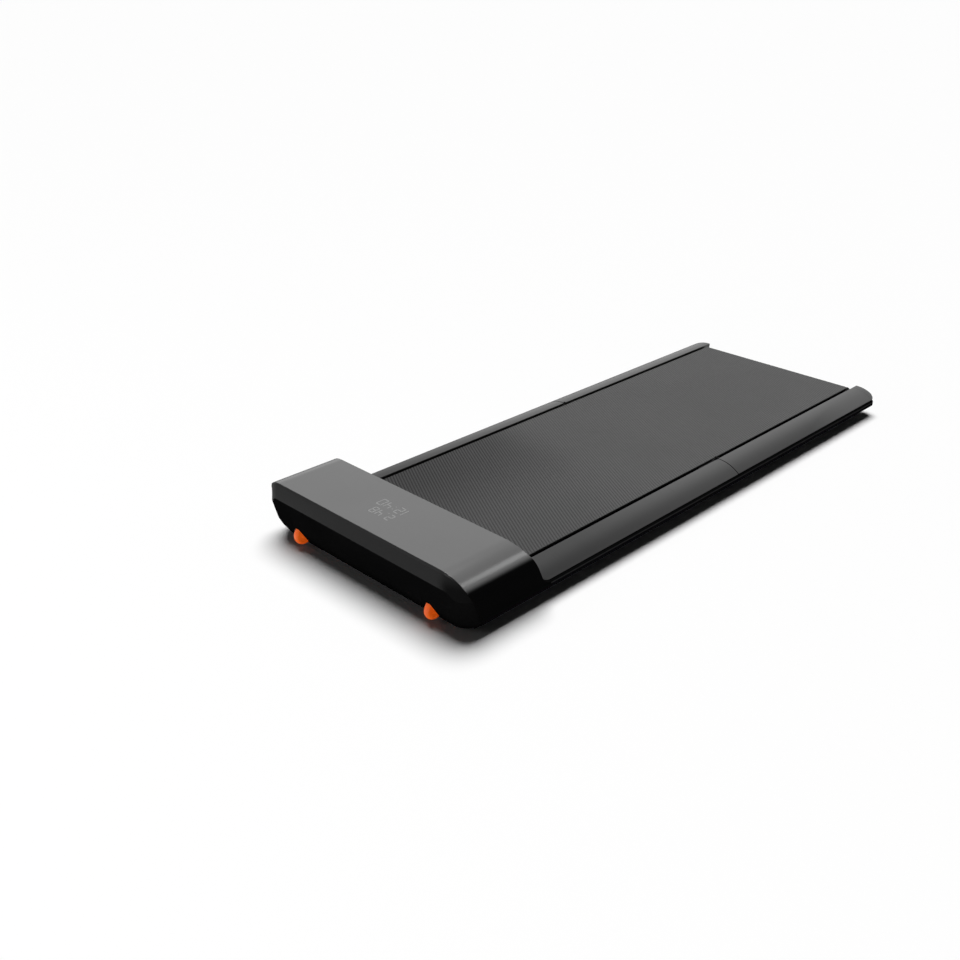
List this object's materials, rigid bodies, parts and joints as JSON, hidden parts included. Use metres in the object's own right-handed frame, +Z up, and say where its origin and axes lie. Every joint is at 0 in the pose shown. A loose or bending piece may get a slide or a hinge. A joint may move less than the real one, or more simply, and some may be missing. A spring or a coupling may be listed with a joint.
{
  "type": "walking pad",
  "caption": "Low folding walking pad: motor head, ribbed tread belt between satin side rails, belly pans on rubber feet, transport wheels and a mid-deck hinge that folds it in half.",
  "frame": {"origin": "on the floor under the middle of the open pad", "axes": "+Z up, -Y towards the motor head, +Y towards the rear roller, +X to the right when facing the head"},
  "size_m": [0.547, 1.432, 0.129],
  "materials": {
    "satin_cover": "satin",
    "black_plastic": "fine grain",
    "frame_steel": "powder coat",
    "bright_steel": "turned",
    "hinge_steel": "black oxide",
    "motor_can": "semi-gloss",
    "rotor_iron": "turned",
    "light_alloy": "machined",
    "deck_wood": "waxed board",
    "tread_rubber": "ribbed",
    "drive_rubber": "matte",
    "soft_rubber": "matte",
    "wheel_orange": "satin",
    "circuit_board": "solder mask",
    "diffuser": "frosted"
  },
  "bodies": {
    "front_deck": {"head_cover": "satin_cover", "front_fascia": "black_plastic", "head_base_plate": "frame_steel", "motor_housing": "motor_can", "motor_bracket": "frame_steel", "drive_belt": "drive_rubber", "control_board": "circuit_board", "heat_sink": "light_alloy", "display_diffuser": "diffuser", "display_board": "circuit_board", "power_inlet": "black_plastic", "switch_body": "black_plastic", "wheel_housing_right": "black_plastic", "wheel_housing_left": "black_plastic", "wheel_pins": "bright_steel", "front_pan": "black_plastic", "front_beam_right": "frame_steel", "front_beam_left": "frame_steel", "front_cross_bars": "frame_steel", "front_deck_cushions": "soft_rubber", "front_deck_board": "deck_wood", "front_rail_right": "satin_cover", "front_rail_left": "satin_cover", "tread_belt_front": "tread_rubber", "front_axle": "bright_steel", "front_hinge_leaf_right": "hinge_steel", "front_hinge_leaf_left": "hinge_steel", "hinge_pins": "bright_steel", "front_bar_feet": "soft_rubber", "front_round_feet": "soft_rubber", "front_pan_screws": "bright_steel"},
    "rear_deck": {"rear_pan": "black_plastic", "rear_beam_right": "frame_steel", "rear_beam_left": "frame_steel", "rear_cross_bars": "frame_steel", "rear_deck_cushions": "soft_rubber", "rear_deck_board": "deck_wood", "rear_rail_right": "satin_cover", "rear_rail_left": "satin_cover", "rail_end_caps": "satin_cover", "tread_belt_rear": "tread_rubber", "rear_axle": "bright_steel", "rear_hinge_leaf_right": "hinge_steel", "rear_hinge_leaf_left": "hinge_steel", "rear_bar_feet": "soft_rubber", "rear_round_feet": "soft_rubber", "rear_pan_screws": "bright_steel"},
    "front_roller": {"front_roller": "bright_steel", "front_bearings": "bright_steel", "roller_pulley": "light_alloy"},
    "rear_roller": {"rear_roller": "bright_steel", "rear_bearings": "bright_steel"},
    "motor_rotor": {"motor_rotor": "rotor_iron", "motor_pulley": "light_alloy"},
    "wheel_right": {"wheel_right": "wheel_orange"},
    "wheel_left": {"wheel_left": "wheel_orange"},
    "switch_rocker": {"switch_rocker": "black_plastic"},
    "tension_bolt_right": {"tension_bolt_right": "bright_steel"},
    "tension_bolt_left": {"tension_bolt_left": "bright_steel"}
  },
  "joints": [
    {"name": "fold", "type": "hinge", "parent": "front_deck", "child": "rear_deck", "pos_m": [0, 0.106, 0.06], "axis": [1, 0, 0], "range_deg": [0, 180]},
    {"name": "front_roller_spin", "type": "hinge", "parent": "front_deck", "child": "front_roller", "pos_m": [0, -0.575, 0.039], "axis": [1, 0, 0], "continuous": true},
    {"name": "rear_roller_spin", "type": "hinge", "parent": "rear_deck", "child": "rear_roller", "pos_m": [0, 0.688, 0.039], "axis": [1, 0, 0], "continuous": true},
    {"name": "motor_spin", "type": "hinge", "parent": "front_deck", "child": "motor_rotor", "pos_m": [0, -0.64, 0.078], "axis": [1, 0, 0], "continuous": true},
    {"name": "right_wheel_spin", "type": "hinge", "parent": "front_deck", "child": "wheel_right", "pos_m": [0.181, -0.693, 0.03], "axis": [1, 0, 0], "continuous": true},
    {"name": "left_wheel_spin", "type": "hinge", "parent": "front_deck", "child": "wheel_left", "pos_m": [-0.181, -0.693, 0.03], "axis": [1, 0, 0], "continuous": true},
    {"name": "power_rocker", "type": "hinge", "parent": "front_deck", "child": "switch_rocker", "pos_m": [-0.267, -0.59, 0.05], "axis": [0, 0, 1], "range_deg": [0, 20]},
    {"name": "right_tension_turn", "type": "hinge", "parent": "rear_deck", "child": "tension_bolt_right", "pos_m": [0.227, 0.688, 0.039], "axis": [0, 1, 0], "continuous": true},
    {"name": "left_tension_turn", "type": "hinge", "parent": "rear_deck", "child": "tension_bolt_left", "pos_m": [-0.227, 0.688, 0.039], "axis": [0, 1, 0], "continuous": true}
  ],
  "couplings": [
    {"joint": "rear_roller_spin", "follows": "front_roller_spin", "ratio": 1},
    {"joint": "motor_spin", "follows": "front_roller_spin", "ratio": 2.2222}
  ]
}
